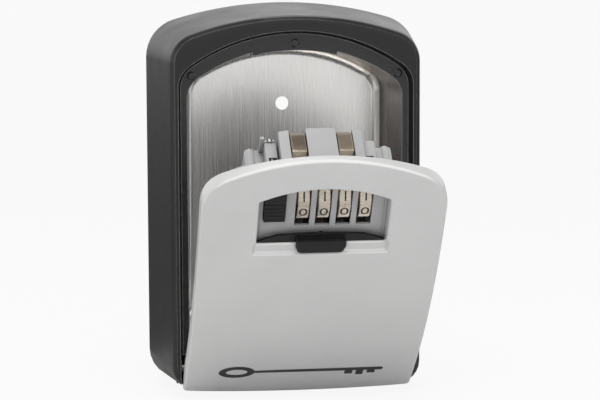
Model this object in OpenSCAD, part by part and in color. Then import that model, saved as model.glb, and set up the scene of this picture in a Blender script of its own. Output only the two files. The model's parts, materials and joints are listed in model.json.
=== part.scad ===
// Wall-mounted key lock box with a drop-down combination door.
// Millimetres. X to the right, Y towards the wall, Z up.
// The origin is on the wall face, midway between the two middle wall screws.

/* [Casing] */
// Width of the casing at the wall
casing_w = 105; // [104:0.5:108]
// Height of the casing at the wall
casing_h = 146; // [145:0.5:150]
// Depth of the casing from the wall to its front face
casing_d = 42; // [41.8:0.1:43]
// Width of the casing at its front face
front_w = 93.2; // [93:0.1:94.5]
// Height of the top of the front face above the origin
front_top = 69.9; // [69.5:0.1:70.5]
// Thickness of the casing wall
casing_wall = 2.6; // [2:0.1:3]
// Edge radius round the front face
front_edge_r = 2.6; // [1.5:0.1:3]

/* [Recess and frame] */
// Half width of the recess that the door closes into
recess_hw = 44.1; // [43.9:0.1:44.4]
// Height of the top of the recess
recess_top = 64.4; // [64:0.1:65]
// Depth of the recess down to the strike frame
recess_d = 4; // [3.6:0.1:4.2]
// Inward slope of the recess wall
recess_slope = 1; // [0.8:0.1:1.1]
// Half width of the opening
opening_hw = 40.4; // [40:0.1:40.5]
// Height of the top of the opening
opening_top = 58.2; // [58:0.1:58.4]
// Height of the bottom of the opening
opening_bottom = -52; // [-52:0.1:-51]

/* [Door] */
// Angle that the door stands open
door_open = 41.24; // [0:0.1:60]
// Half width of the door
door_hw = 43.1; // [42.8:0.1:43.2]
// Height of the door's top edge when closed
door_top = 61.1; // [60.8:0.1:61.4]
// Height of the door's bottom edge at its corners when closed
door_bottom = -65.4; // [-65.6:0.1:-65]
// How much lower the bottom edge is in the middle
door_bow = 2.6; // [1:0.1:2.8]
// Radius of the door's curve from top to bottom
door_r = 260; // [255:1:265]
// Thickness of the door skin
skin_t = 2.2; // [2:0.1:2.3]
// Radius of the hinge pins
pin_r = 1.5; // [1.2:0.1:1.6]

/* [Dials] */
// Number of dials
dial_count = 4; // [4:1:4]
// Spacing of the dials
dial_pitch = 7.25; // [7.2:0.05:7.3]
// Width of one dial
dial_w = 4.1; // [4:0.1:4.3]
// Radius of a dial over its corners
dial_r = 10.9; // [10.6:0.1:10.9]
// Number of flats round a dial
dial_flats = 10; // [10:1:10]

/* [Latch] */
// Travel of the release button and the latch bolts
latch_travel = 4.2; // [3.8:0.1:4.2]
// Distance from the middle to each latch bolt
bolt_x = 8.2; // [8:0.1:8.4]
// Width of a latch bolt
bolt_w = 5.2; // [5:0.1:5.4]

/* [Wall fixing] */
// Distance between the two middle screw holes
screw_span_z = 68; // [64:1:70]
// Distance between the two lower side screw holes
screw_span_x = 48; // [44:1:50]
// Radius of a wall screw hole
screw_hole_r = 2.6; // [2.2:0.1:2.8]

/* [Hidden] */
$fn = 72;
eps = 0.05;

// Casing outline values
top_r_back = 145;
top_r_front = 117;
corner_back = 15;
corner_front = 11;
foot_back = 12;
foot_front = 8;
front_bottom = -69.6;
ledge_y = casing_d - 6;
ledge_t = 5;

// Recess, frame and pan outline values
recess_arc = 69;
recess_corner = 10;
opening_arc = 64;
opening_corner = 9;
lip_hw = 16;
lip_top = 56.9;
frame_t = 1.2;
frame_bottom = -56.8;
frame_gap = 0.2;
pan_gap = 0.5;
pan_t = 0.8;
pan_back_t = 1;
pan_draft = 2.4;
pan_round = 4;

// Hinge line, measured forward from the wall and up from the origin
hinge_f = 34.1;
hinge_z = -62.4;
hinge_clear_r = 10.6;
hinge_slot_hw = 43.6;
lug_r = 3.6;
lug_x0 = 36;
lug_x1 = 42;
running = 0.06;

// Centre of the door's curve
bulge = 8.8;
door_arc = 88;
door_corner = 14;
rim_back = 40;
guide_bottom = -1;
guide_top = 49.6;
arc_f = casing_d + bulge - door_r;
arc_z = -3.5;

// Window of the door
window_hw = 23;
window_top = 49.2;
window_bottom = 24;
window_arc = 55;
scoop_bottom = 17.6;
scoop_depth = 1.4;
wall_t = 1.4;

// Layers of the door, as depths below its outer surface
shutter_d = 2.4;
shutter_t = 1;
face_d = 5.3;
face_t = 1;
case_d = face_d + face_t;
button_d = 3.8;
flange_d = 6.5;
flange_depth = 1.6;

// Inner liner, a tray that fills the opening when the door is closed
liner_hw = 39.4;
liner_top = 56.3;
liner_arc = 63;
liner_corner = 8.5;
liner_bottom = -50.5;
liner_wall = 1.2;
liner_f0 = 33.5;
liner_f1 = 34.9;
liner_gap_f = 37.6;

// Shutter
shutter_hw = 22.5;
shutter_top = 27.6;
shutter_knee = [15.5, 27];
shutter_tip = 24.2;
shutter_bottom = 1;
tab_hw = 9;
tab_bottom = 20.8;
tab_top = 26.2;
tab_t = 1;
pocket_t = 1.15;

// Lock case, back at f = case_back
case_back = 20.8;
cover_t = 1.2;
case_hw = 26;
case_bottom = 21;
case_shoulder = 50;
shoulder_f = 33.4;
low_shoulder = 43.4;
boss_x = 24;
boss_z = 42.1;
boss_r = 2;
bracket_hw = 19.3;
bracket_top = 48.4;
fence_x = -20.8;
fence_t = 1.4;
fence_top = 50.4;
slot_x0 = 15.4;
slot_x1 = 18.4;
slot_f0 = 29;
slot_f1 = 30.8;
block_hw = 14.6;
block_top = 54.3;
cavity_hw = 22.3;
cavity_bottom = 23;
cavity_top = 48.9;
block_cavity_top = 49.1;
bolt_slot_z = 50.2;
low_cavity_top = 42.2;
dial_cavity_top = 47.8;
dial_cavity_x = 17.5;
screw_inset_x = 23.9;
case_screw_x = -17.2;
case_screw_z = 47.2;
case_screw_r = 0.75;
case_screw_f1 = 36.2;
pad_hw = 18.4;
pad_z0 = 45.2;
pad_f1 = 36.4;

// Dials and shaft
dial_x0 = -6.8;
dial_z = 36.4;
dial_rad = door_r - 3.6 - dial_r;
dial_f = arc_f + sqrt(dial_rad * dial_rad - (dial_z - arc_z) * (dial_z - arc_z));
dial_tilt = asin((dial_z - arc_z) / dial_rad);
shaft_r = 2.5;
shaft_x0 = -12;
shaft_x1 = 24.5;
rib_x0 = -12.2;
rib_x1 = -10.6;
sleeve_r = 5.6;
flange_r = 6.4;
flange_t = 1.3;
groove_r = 0.55;
face_bottom = 20.2;
face_top = 50.2;
border_hw = 22;
border_z0 = 24.3;
border_z1 = 47.4;
dial_slot_hw = 2.65;
dial_slot_h = 7.9;
dial_slot_low = 9.1;

// Release button, bar and bolts
button_x0 = -20.5;
button_x1 = -13;
button_bottom = 32.1;
button_top = 44.5;
bar_f0 = 22.8;
bar_f1 = 25.9;
bar_z0 = 45.2;
bar_z1 = 48.2;
bar_x0 = -13.6;
bar_x1 = 11;
bolt_f0 = 21;
bolt_f1 = 31.2;
bolt_gap = 0.4;
bolt_z0 = 49.6;
bolt_top = 53.9;

steel = [0.72, 0.72, 0.7];
dark_steel = [0.23, 0.23, 0.25];
door_grey = [0.74, 0.74, 0.73];
nickel = [0.75, 0.7, 0.62];

function mix(a, b, t) = a + (b - a) * t;

// Outline with an arched top, round top corners and a flat or bowed bottom.
// hw half width, zt top, rt arc radius, rc corner radius, zb bottom, rb foot radius
function fillet_z(hw, zt, rt, rc) = zt - rt + sqrt((rt - rc) * (rt - rc) - (hw - rc) * (hw - rc));
function fillet_a(hw, zt, rt, rc) = atan2(fillet_z(hw, zt, rt, rc) - (zt - rt), hw - rc);
function arch_right(hw, zt, rt, rc, zb, rb, bow) = concat(
    [for (i = [0:8]) [hw * i / 9 * (1 - rb / hw), zb - bow * (1 - i * i / 81)]],
    [for (i = [0:6]) let (a = -90 + 15 * i) [hw - rb + rb * cos(a), zb + rb + rb * sin(a)]],
    [for (i = [0:8]) let (a = fillet_a(hw, zt, rt, rc) * i / 8)
        [hw - rc + rc * cos(a), fillet_z(hw, zt, rt, rc) + rc * sin(a)]],
    [for (i = [1:9]) let (a = mix(fillet_a(hw, zt, rt, rc), 90, i / 10))
        [rt * cos(a), zt - rt + rt * sin(a)]]
);
function mirrored(p) = [for (i = [len(p) - 1:-1:1]) [-p[i][0], p[i][1]]];
module arch(hw, zt, rt, rc, zb, rb, bow = 0) {
    right = arch_right(hw, zt, rt, rc, zb, rb, bow);
    polygon(concat(right, [[0, zt]], mirrored(right)));
}

// Extrudes a front-view outline from f0 to f1, both measured forward from the wall
module layer(f0, f1) {
    translate([0, -f0, 0]) rotate([90, 0, 0]) linear_extrude(height = f1 - f0) children();
}
// Box given by its limits in x, forward distance and height
module block(x0, x1, f0, f1, z0, z1) {
    translate([x0, -f1, z0]) cube([x1 - x0, f1 - f0, z1 - z0]);
}
// Round bar along X at a forward distance and height
module bar_x(x0, x1, f, z, r) {
    translate([x0, -f, z]) rotate([0, 90, 0]) cylinder(h = x1 - x0, r = r);
}
// Round bar along Y
module bar_y(x, f0, f1, z, r) {
    translate([x, -f0, z]) rotate([90, 0, 0]) cylinder(h = f1 - f0, r = r);
}
// Side-view outline in forward distance and height, extruded from x0 to x1
module side_profile(x0, x1) {
    translate([x0, 0, 0]) rotate([90, 0, 90]) linear_extrude(height = x1 - x0) mirror([1, 0]) children();
}
// Turns the closed door and all it carries to where it stands open
module on_door() {
    translate([0, -hinge_f, hinge_z]) rotate([door_open, 0, 0]) translate([0, hinge_f, -hinge_z]) children();
}
// Curved sheet of the door between two depths below its outer surface
module door_sheet(d0, d1, hw = 60) {
    difference() {
        bar_x(-hw, hw, arc_f, arc_z, door_r - d0, $fn = 360);
        bar_x(-hw - 1, hw + 1, arc_f, arc_z, door_r - d1, $fn = 360);
    }
}
function surface_f(z, d = 0) = arc_f + sqrt((door_r - d) * (door_r - d) - (z - arc_z) * (z - arc_z));
module door_outline(inset = 0, bottom = door_bottom) {
    arch(door_hw - inset, door_top - inset, door_arc - inset, door_corner - inset / 2, bottom + inset,
        max(1.5 - inset / 2, 0.6), door_bow);
}

// ---- Casing ----
module casing_slice(f, inset) {
    t = f / casing_d;
    layer(f, f + eps)
        arch(mix(casing_w, front_w, t) / 2 - inset, mix(casing_h / 2, front_top, t) - inset,
            mix(top_r_back, top_r_front, t), mix(corner_back, corner_front, t) - inset * 0.7,
            mix(-casing_h / 2, front_bottom, t) + inset, mix(foot_back, foot_front, t) - inset * 0.7);
}
module casing_outer() {
    hull() {
        casing_slice(0, 0);
        casing_slice(casing_d - front_edge_r, 0);
        casing_slice(casing_d - front_edge_r * 0.5, front_edge_r * 0.134);
        casing_slice(casing_d - front_edge_r * 0.134, front_edge_r * 0.5);
        casing_slice(casing_d - eps, front_edge_r);
    }
}
module recess_outline(grow) {
    arch(recess_hw + grow, recess_top + grow, recess_arc + grow, recess_corner + grow, -80, 1);
}
module opening_outline(grow) {
    arch(opening_hw + grow, opening_top + grow, opening_arc + grow, opening_corner + grow,
        opening_bottom - grow, 3 + grow);
}
module hinge_clearance(hw, r) {
    intersection() {
        bar_x(-hw, hw, hinge_f, hinge_z, r);
        block(-hw, hw, hinge_f - r, hinge_f + r, hinge_z - r, -57);
    }
}
module rivet_places() {
    for (p = [[0, 59.6], [-38.7, 47.9], [38.7, 47.9], [-30, -54.4], [30, -54.4]])
        translate([p[0], 0, p[1]]) children();
}
module outer_casing() {
    color(dark_steel) difference() {
        union() {
            difference() {
                casing_outer();
                hull() {
                    casing_slice(-eps, casing_wall);
                    casing_slice(ledge_y - ledge_t - eps, casing_wall);
                }
            }
            // trough behind the hinge line
            intersection() {
                bar_x(-45, 45, hinge_f, hinge_z, hinge_clear_r + 1.8);
                block(-45, 45, hinge_f - 13, hinge_f, -68.5, -53);
            }
        }
        hull() {
            layer(casing_d, casing_d + 0.1) recess_outline(0);
            layer(casing_d - recess_d, casing_d - recess_d + eps) recess_outline(-recess_slope);
        }
        layer(ledge_y, casing_d) intersection() {
            recess_outline(-recess_slope);
            translate([-50, -100]) square([100, 200]);
        }
        layer(ledge_y - ledge_t - 1, ledge_y + 1) opening_outline(pan_gap + pan_t + 0.3);
        hinge_clearance(hinge_slot_hw, hinge_clear_r);
        block(-hinge_slot_hw, hinge_slot_hw, hinge_f, casing_d + 1, -80, -57);
        bar_x(-46.2, 46.2, hinge_f, hinge_z, pin_r);
        rivet_places() bar_y(0, 20, casing_d, 0, 1.15);
    }
}
module front_frame() {
    color(dark_steel) difference() {
        layer(casing_d - recess_d - frame_t, casing_d - recess_d) difference() {
            intersection() {
                recess_outline(-recess_slope - frame_gap);
                translate([-50, frame_bottom]) square([100, 140]);
            }
            difference() {
                opening_outline(0);
                difference() {
                    translate([-lip_hw, 45]) square([2 * lip_hw, 20]);
                    arch(opening_hw, lip_top, opening_arc, opening_corner, opening_bottom, 3);
                }
            }
        }
        rivet_places() bar_y(0, 30, casing_d, 0, 1.15);
    }
    // strike flange, bent back from the lip, that holds the raised latch bolts
    color(dark_steel) layer(bolt_f1 + 0.7, casing_d - recess_d - frame_t + eps) intersection() {
        translate([-lip_hw, 45]) square([2 * lip_hw, 20]);
        difference() {
            arch(opening_hw, lip_top + frame_t, opening_arc, opening_corner, opening_bottom, 3);
            arch(opening_hw, lip_top, opening_arc, opening_corner, opening_bottom, 3);
        }
    }
}
module pan_slice(f, inset) {
    layer(f, f + eps)
        arch(opening_hw + pan_gap - inset, opening_top + pan_gap - inset, opening_arc - inset / 2,
            opening_corner + pan_gap - inset * 0.3, opening_bottom - pan_gap + inset,
            5 - inset * 0.3);
}
// Inner or outer surface of the drawn pan; grow is the sheet thickness outwards
module pan_body(front, back, grow) {
    hull() {
        pan_slice(front, -grow);
        pan_slice(back + pan_round, pan_draft - grow);
        pan_slice(back + pan_round * 0.5, pan_draft + pan_round * 0.134 - grow);
        pan_slice(back + pan_round * 0.134, pan_draft + pan_round * 0.5 - grow);
        pan_slice(back, pan_draft + pan_round * 0.93 - grow);
    }
}
module steel_pan() {
    flange_f = casing_d - recess_d - frame_t;
    color(steel) difference() {
        union() {
            pan_body(flange_f - pan_t, 0, pan_t);
            layer(ledge_y, flange_f) intersection() {
                recess_outline(-recess_slope - frame_gap);
                translate([-50, frame_bottom]) square([100, 140]);
            }
        }
        pan_body(flange_f + 1, pan_back_t, 0);
        rivet_places() bar_y(0, 30, casing_d, 0, 1.15);
        for (z = [-screw_span_z / 2, screw_span_z / 2]) bar_y(0, -1, 3, z, screw_hole_r);
        for (x = [-screw_span_x / 2, screw_span_x / 2]) bar_y(x, -1, 3, -screw_span_z / 2, screw_hole_r);
        // keeper slots that the latch bolts rise into
        for (s = [-1, 1])
            block(s * bolt_x - 3.2, s * bolt_x + 3.2, bolt_f0 - 1.6, bolt_f1 + 0.7, 45, 62);
    }
}
module frame_rivets() {
    tail_f = ledge_y - ledge_t;
    front_f = casing_d - recess_d;
    color(dark_steel) rivet_places() {
        bar_y(0, tail_f - 0.8, front_f + 0.1, 0, 1.1);
        translate([0, -front_f, 0]) rotate([90, 0, 0]) {
            cylinder(h = 0.5, r = 1.8);
            translate([0, 0, 0.5]) cylinder(h = 0.45, r1 = 1.8, r2 = 1.1);
        }
    }
}
module hinge_pins() {
    color(steel) for (s = [-1, 1])
        bar_x(s > 0 ? lug_x0 - 1 : -46.2, s > 0 ? 46.2 : 1 - lug_x0, hinge_f, hinge_z, pin_r);
}

// ---- Door skin and liner ----
module window_outline(grow = 0) {
    intersection() {
        translate([-window_hw - grow, window_bottom]) square([2 * (window_hw + grow), 40]);
        translate([0, window_top + grow - window_arc]) circle(r = window_arc, $fn = 180);
    }
}
module scoop() {
    // wedge that slopes in from the skin below the window
    side_profile(-window_hw, window_hw) polygon([
        [surface_f(scoop_bottom), scoop_bottom],
        [surface_f(scoop_bottom) + 3, scoop_bottom - 1],
        [surface_f(window_bottom) + 3, window_bottom + 1],
        [surface_f(window_bottom, scoop_depth), window_bottom + 1]
    ]);
}
module door_lug(s) {
    x0 = s > 0 ? lug_x0 : -lug_x1;
    x1 = s > 0 ? lug_x1 : -lug_x0;
    bar_x(x0, x1, hinge_f, hinge_z, lug_r);
    intersection() {
        block(x0, x1, hinge_f, 48, hinge_z - 2.4, hinge_z + lug_r);
        bar_x(x0, x1, arc_f, arc_z, door_r - 1, $fn = 360);
    }
}
module door_panel() {
    color(door_grey) on_door() difference() {
        union() {
            intersection() {
                door_sheet(0, skin_t);
                layer(20, 60) door_outline();
            }
            // rim turned back round the edge
            intersection() {
                door_sheet(0, 5.2);
                layer(rim_back, 60) difference() {
                    door_outline();
                    door_outline(1.8);
                }
            }
            // guide walls beside the window and the shutter
            intersection() {
                door_sheet(1, case_d);
                union() for (s = [-1, 1])
                    block(s > 0 ? window_hw : -window_hw - wall_t, s > 0 ? window_hw + wall_t : -window_hw,
                        30, 60, guide_bottom, guide_top);
            }
            for (s = [-1, 1]) door_lug(s);
        }
        intersection() {
            layer(30, 60) window_outline();
            door_sheet(-2, skin_t + 0.05);
        }
        scoop();
        // thumb pocket for the shutter's tab
        intersection() {
            door_sheet(-1, pocket_t);
            block(-tab_hw - 0.3, tab_hw + 0.3, 30, 60, tab_bottom - 0.4, window_bottom + eps);
        }
        for (s = [-1, 1]) bar_x(s * 39 - 5, s * 39 + 5, hinge_f, hinge_z, pin_r + running);
    }
}
module liner_outline(inset) {
    arch(liner_hw - inset, liner_top - inset, liner_arc - inset, liner_corner - inset,
        liner_bottom + inset, 4 - inset);
}
module door_liner() {
    color(door_grey) on_door() difference() {
        intersection() {
            layer(liner_f0, 60) liner_outline(0);
            bar_x(-60, 60, arc_f, arc_z, door_r - skin_t, $fn = 360);
        }
        layer(liner_f1, 61) liner_outline(liner_wall);
        // opening round the lock case
        block(-case_hw - 0.05, case_hw + 0.05, 30, 36, case_bottom - 0.05, block_top + 0.7);
        // gap in the top wall that the latch bolts rise through
        block(-block_hw - 0.6, block_hw + 0.6, 30, liner_gap_f, block_top - 2, 60);
    }
}
module faceplate() {
    color([0.62, 0.62, 0.62]) on_door() difference() {
        intersection() {
            door_sheet(face_d, face_d + face_t);
            block(-window_hw + 0.1, window_hw - 0.1, 20, 60, face_bottom, face_top);
        }
        for (i = [0:dial_count - 1])
            translate([dial_x0 + i * dial_pitch, -dial_f, dial_z]) rotate([-dial_tilt, 0, 0])
                translate([-dial_slot_hw, -20, -dial_slot_low])
                    cube([2 * dial_slot_hw, 20, dial_slot_h + dial_slot_low]);
        block(button_x0 - 0.3, button_x1 + 0.3, 20, 60, button_bottom - 0.4, button_top + latch_travel + 0.4);
        // engraved border line
        intersection() {
            door_sheet(face_d - 1, face_d + 0.3);
            layer(20, 60) difference() {
                translate([-border_hw, border_z0]) square([2 * border_hw, border_z1 - border_z0]);
                translate([-border_hw + 0.5, border_z0 + 0.5])
                    square([2 * border_hw - 1, border_z1 - border_z0 - 1]);
            }
        }
    }
}

// ---- Lock case ----
module block_outline() {
    intersection() {
        translate([-block_hw, case_bottom]) square([2 * block_hw, 40]);
        translate([0, block_top - recess_arc]) circle(r = recess_arc, $fn = 180);
    }
}
module low_outline() {
    translate([-case_hw, case_bottom]) square([2 * case_hw, low_shoulder - case_bottom]);
    for (s = [-1, 1]) translate([s * boss_x, boss_z]) circle(r = boss_r);
    block_outline();
}
module high_outline() {
    translate([-case_hw, case_bottom]) square([2 * case_hw, case_shoulder - 3 - case_bottom]);
    translate([-case_hw + 3, case_bottom]) square([2 * case_hw - 6, case_shoulder - case_bottom]);
    block_outline();
}
module cover_screw_places() {
    for (x = [-screw_inset_x, screw_inset_x]) for (z = [24, boss_z]) translate([x, 0, z]) children();
}
module bolt_slots(f0, f1, z0) {
    for (s = [-1, 1])
        block(s * bolt_x - bolt_w / 2 - bolt_gap, s * bolt_x + bolt_w / 2 + bolt_gap, f0, f1, z0, 60);
}
module case_cavity(f0) {
    block(-pad_hw, pad_hw, f0 - 1, 60, cavity_bottom, pad_z0);
    block(-cavity_hw, cavity_hw, f0 - 1, 60, cavity_bottom, low_cavity_top);
    block(-cavity_hw, cavity_hw, pad_f1, 60, cavity_bottom, cavity_top);
    block(-13.9, dial_cavity_x, f0 - 1, pad_f1 + 1, 40, dial_cavity_top);
    block(-13.9, 13.9, f0 - 1, 37.2, 40, block_cavity_top);
    block(-13.9, 13.9, f0 - 1, bar_f1 + 1.5, 40, bar_z1 + latch_travel + 0.3);
}
module lock_case() {
    f0 = case_back + cover_t;
    color(door_grey) on_door() difference() {
        union() {
            layer(f0, shoulder_f + eps) low_outline();
            layer(f0, shoulder_f + eps) translate([-bracket_hw, case_bottom])
                square([2 * bracket_hw, bracket_top - case_bottom]);
            intersection() {
                layer(shoulder_f, 60) high_outline();
                bar_x(-60, 60, arc_f, arc_z, door_r - case_d, $fn = 360);
            }
        }
        difference() {
            case_cavity(f0);
            // rib that carries the shaft's left end, notched for the release bar
            difference() {
                block(rib_x0, rib_x1, f0 - 2, 60, 10, 47);
                block(rib_x0 - 1, rib_x1 + 1, f0 - 3, bar_f1 + 0.5, 42, 60);
            }
        }
        bolt_slots(f0 - 1, bolt_f1 + 0.5, 44);
        bolt_slots(bolt_f1, 60, bolt_slot_z);
        // groove between the left bracket and the block
        block(-block_hw - 0.7, -block_hw, f0 - 1, slot_f1, pad_z0 + 0.2, 60);
        for (s = [-1, 1])
            block(s > 0 ? slot_x0 : -slot_x1, s > 0 ? slot_x1 : -slot_x0, slot_f0, slot_f1, pad_z0 + 0.2, 60);
        bar_x(rib_x0 - 1, shaft_x1, dial_f, dial_z, shaft_r);
        cover_screw_places() bar_y(0, f0 - 1, f0 + 7, 0, 0.9);
        bar_y(case_screw_x, 20, case_screw_f1 + 0.1, case_screw_z, case_screw_r + 0.05);
    }
}
module case_cover() {
    f0 = case_back;
    f1 = f0 + cover_t;
    color(door_grey) on_door() {
        difference() {
            layer(f0, f1) low_outline();
            cover_screw_places() bar_y(0, f0 - 1, f1 + 1, 0, 0.95);
            block(-5.2, 5.2, f0 - 1, f1 + 1, 25.9, 29.1);
            bolt_slots(f0 - 1, f1 + 1, bolt_z0 - 0.3);
        }
        // thin wall that stands beside the head of the case screw
        block(fence_x, fence_x + fence_t, f0, f1, low_shoulder - 1, fence_top);
    }
}
module cover_screws() {
    color(steel) on_door() cover_screw_places() difference() {
        union() {
            bar_y(0, case_back - 0.8, case_back, 0, 1.5);
            bar_y(0, case_back - 0.1, case_back + 7, 0, 0.85);
        }
        block(-1.2, 1.2, case_back - 1, case_back - 0.4, -0.2, 0.2);
        block(-0.2, 0.2, case_back - 1, case_back - 0.4, -1.2, 1.2);
    }
}
module case_screw() {
    head_f = case_back + cover_t;
    color(steel) on_door() difference() {
        union() {
            bar_y(case_screw_x, head_f - 1.4, head_f, case_screw_z, 1.9);
            bar_y(case_screw_x, head_f - 0.1, case_screw_f1, case_screw_z, case_screw_r);
        }
        block(case_screw_x - 1.3, case_screw_x + 1.3, head_f - 2, head_f - 0.9, case_screw_z - 0.25,
            case_screw_z + 0.25);
    }
}
module dial_shaft() {
    color(steel) on_door() bar_x(shaft_x0, shaft_x1, dial_f, dial_z, shaft_r);
}
module spring_strip(points, t) {
    // strip of constant thickness through a list of points in side view
    for (i = [0:len(points) - 2]) {
        a = points[i];
        b = points[i + 1];
        d = (b - a) / norm(b - a);
        n = [-d[1], d[0]] * t / 2;
        polygon([a + n - d * t / 4, b + n + d * t / 4, b - n + d * t / 4, a - n - d * t / 4]);
    }
}
module detent_spring() {
    color(steel) on_door() {
        block(dial_x0 - 2, dial_x0 + 3 * dial_pitch + 2, 27.6, 38, cavity_bottom, cavity_bottom + 0.5);
        for (i = [0:dial_count - 1])
            side_profile(dial_x0 + i * dial_pitch - 1.6, dial_x0 + i * dial_pitch + 1.6)
                spring_strip([[37.6, 23.4], [36, 24.1], [33.1, 25.1], [31.2, 24.6]], 0.4);
    }
}
module release_spring() {
    color(steel) on_door() side_profile(-19, -15)
        spring_strip([[28.5, 23.3], [23.4, 23.6], [23.2, 24.4], [28.4, 27.4], [28.4, 28.2], [23.4, 30.2],
            [23.4, 31], [25.4, 32.5]], 0.5);
}

// ---- Dials ----
module dial_body(i) {
    x = dial_x0 + i * dial_pitch;
    color(nickel) on_door() translate([x, -dial_f, dial_z]) difference() {
        rotate([0, 90, 0]) translate([0, 0, -dial_w / 2])
            cylinder(h = dial_w, r = dial_r, $fn = dial_flats);
        rotate([0, 90, 0]) translate([0, 0, -dial_w]) cylinder(h = 2 * dial_w, r = sleeve_r);
        // grip groove at each corner
        for (k = [0:dial_flats - 1]) rotate([(k + 0.5) * 360 / dial_flats, 0, 0])
            translate([-dial_w, -dial_r, 0]) rotate([0, 90, 0]) cylinder(h = 2 * dial_w, r = groove_r, $fn = 24);
    }
}
module cam_body(i) {
    x = dial_x0 + i * dial_pitch;
    color("darkgoldenrod") on_door() difference() {
        union() {
            bar_x(x - dial_w / 2, x + dial_w / 2 + 0.6, dial_f, dial_z, sleeve_r);
            bar_x(x - dial_w / 2 - flange_t, x - dial_w / 2, dial_f, dial_z, flange_r);
        }
        bar_x(x - 6, x + 6, dial_f, dial_z, shaft_r + running);
        block(x - dial_w / 2 - flange_t - 1, x - dial_w / 2 - eps, dial_f - 1.2, dial_f + 1.2,
            dial_z + 4.6, dial_z + 9);
    }
}
module dial_1() { dial_body(0); }
module dial_2() { dial_body(1); }
module dial_3() { dial_body(2); }
module dial_4() { dial_body(3); }
module cam_1() { cam_body(0); }
module cam_2() { cam_body(1); }
module cam_3() { cam_body(2); }
module cam_4() { cam_body(3); }

// ---- Release parts, at the open end of their travel ----
module release_button() {
    rib_pitch = 1.65;
    color([0.13, 0.13, 0.15]) on_door() {
        difference() {
            intersection() {
                door_sheet(button_d, flange_d + 0.1);
                block(button_x0, button_x1, 30, 60, button_bottom, button_top);
            }
            for (k = [0:4]) {
                z = button_bottom + 1.2 + k * rib_pitch;
                bar_x(-30, 30, surface_f(z, button_d), z, 0.45, $fn = 24);
            }
        }
        intersection() {
            door_sheet(flange_d, flange_d + flange_depth);
            block(button_x0 - 1, button_x1 + 0.6, 30, 60, button_bottom + 0.4, 43);
        }
    }
}
module release_bar() {
    color(steel) on_door() {
        block(bar_x0, bar_x1, bar_f0, bar_f1, bar_z0, bar_z1);
        block(bar_x0, -12.4, bar_f0, bar_f1, 33, bar_z0 + eps);
        block(-18, -12.4, bar_f0, bar_f1, 33, 37);
        intersection() {
            block(-18, -15, bar_f1 - eps, 45, 33, 37);
            bar_x(-19, -14, arc_f, arc_z, door_r - flange_d - flange_depth, $fn = 360);
        }
    }
}
module fence_comb() {
    color(steel) on_door() for (i = [0:dial_count - 1]) {
        x = dial_x0 + i * dial_pitch - dial_w / 2 - 1.25;
        if (x > bar_x0) {
            block(x, x + 1.1, bar_f1, dial_f + 1, dial_z + flange_r + 0.35, 44.6);
            block(x, x + 1.1, bar_f1, bar_f1 + 1.2, 44.5, bar_z1);
        }
    }
}
module latch_bolts() {
    chamfer = 3.2;
    color(nickel) on_door() for (s = [-1, 1]) {
        side_profile(s * bolt_x - bolt_w / 2, s * bolt_x + bolt_w / 2) polygon([
            [bolt_f0, bolt_z0],
            [bolt_f1, bolt_z0],
            [bolt_f1, bolt_top - 0.3],
            [bolt_f1 - 0.3, bolt_top],
            [bolt_f0 + chamfer, bolt_top],
            [bolt_f0, bolt_top - 1.6]
        ]);
        block(s * bolt_x - 1.8, s * bolt_x + 1.8, bar_f0, bar_f1, bar_z1, bolt_z0 + eps);
    }
}

// ---- Shutter and reset lever ----
module shutter() {
    color([0.13, 0.13, 0.15]) on_door() {
        intersection() {
            door_sheet(shutter_d, shutter_d + shutter_t);
            layer(30, 60) polygon([
                [-shutter_hw, shutter_bottom],
                [shutter_hw, shutter_bottom],
                [shutter_hw, shutter_tip],
                shutter_knee,
                [shutter_knee[0] * 0.5, shutter_top - 0.1],
                [0, shutter_top],
                [-shutter_knee[0] * 0.5, shutter_top - 0.1],
                [-shutter_knee[0], shutter_knee[1]],
                [-shutter_hw, shutter_tip]
            ]);
        }
        // thumb tab that hooks over the lower edge of the window
        intersection() {
            door_sheet(-0.2, tab_t);
            block(-tab_hw, tab_hw, 30, 60, tab_bottom, tab_top);
        }
        intersection() {
            door_sheet(tab_t - 0.1, shutter_d + 0.1);
            block(-tab_hw, tab_hw, 30, 60, window_bottom + 1.1, tab_top);
        }
    }
}
module reset_lever() {
    color([0.13, 0.13, 0.15]) on_door() {
        block(-4.8, -1.2, case_back - 1.6, case_back - 0.1, 25, 30);
        block(-4.2, -1.8, case_back - 0.2, case_back + cover_t + 0.2, 26.1, 28.9);
        block(-6, 0, case_back + cover_t + 0.1, case_back + cover_t + 0.9, 24.8, 30.2);
    }
}

outer_casing();
front_frame();
steel_pan();
frame_rivets();
hinge_pins();
door_panel();
door_liner();
faceplate();
lock_case();
case_cover();
cover_screws();
case_screw();
dial_shaft();
detent_spring();
release_spring();
dial_1();
dial_2();
dial_3();
dial_4();
cam_1();
cam_2();
cam_3();
cam_4();
release_button();
release_bar();
fence_comb();
latch_bolts();
shutter();
reset_lever();
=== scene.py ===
import json
import math

import bmesh
import bpy
from mathutils import Matrix, Vector


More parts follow.
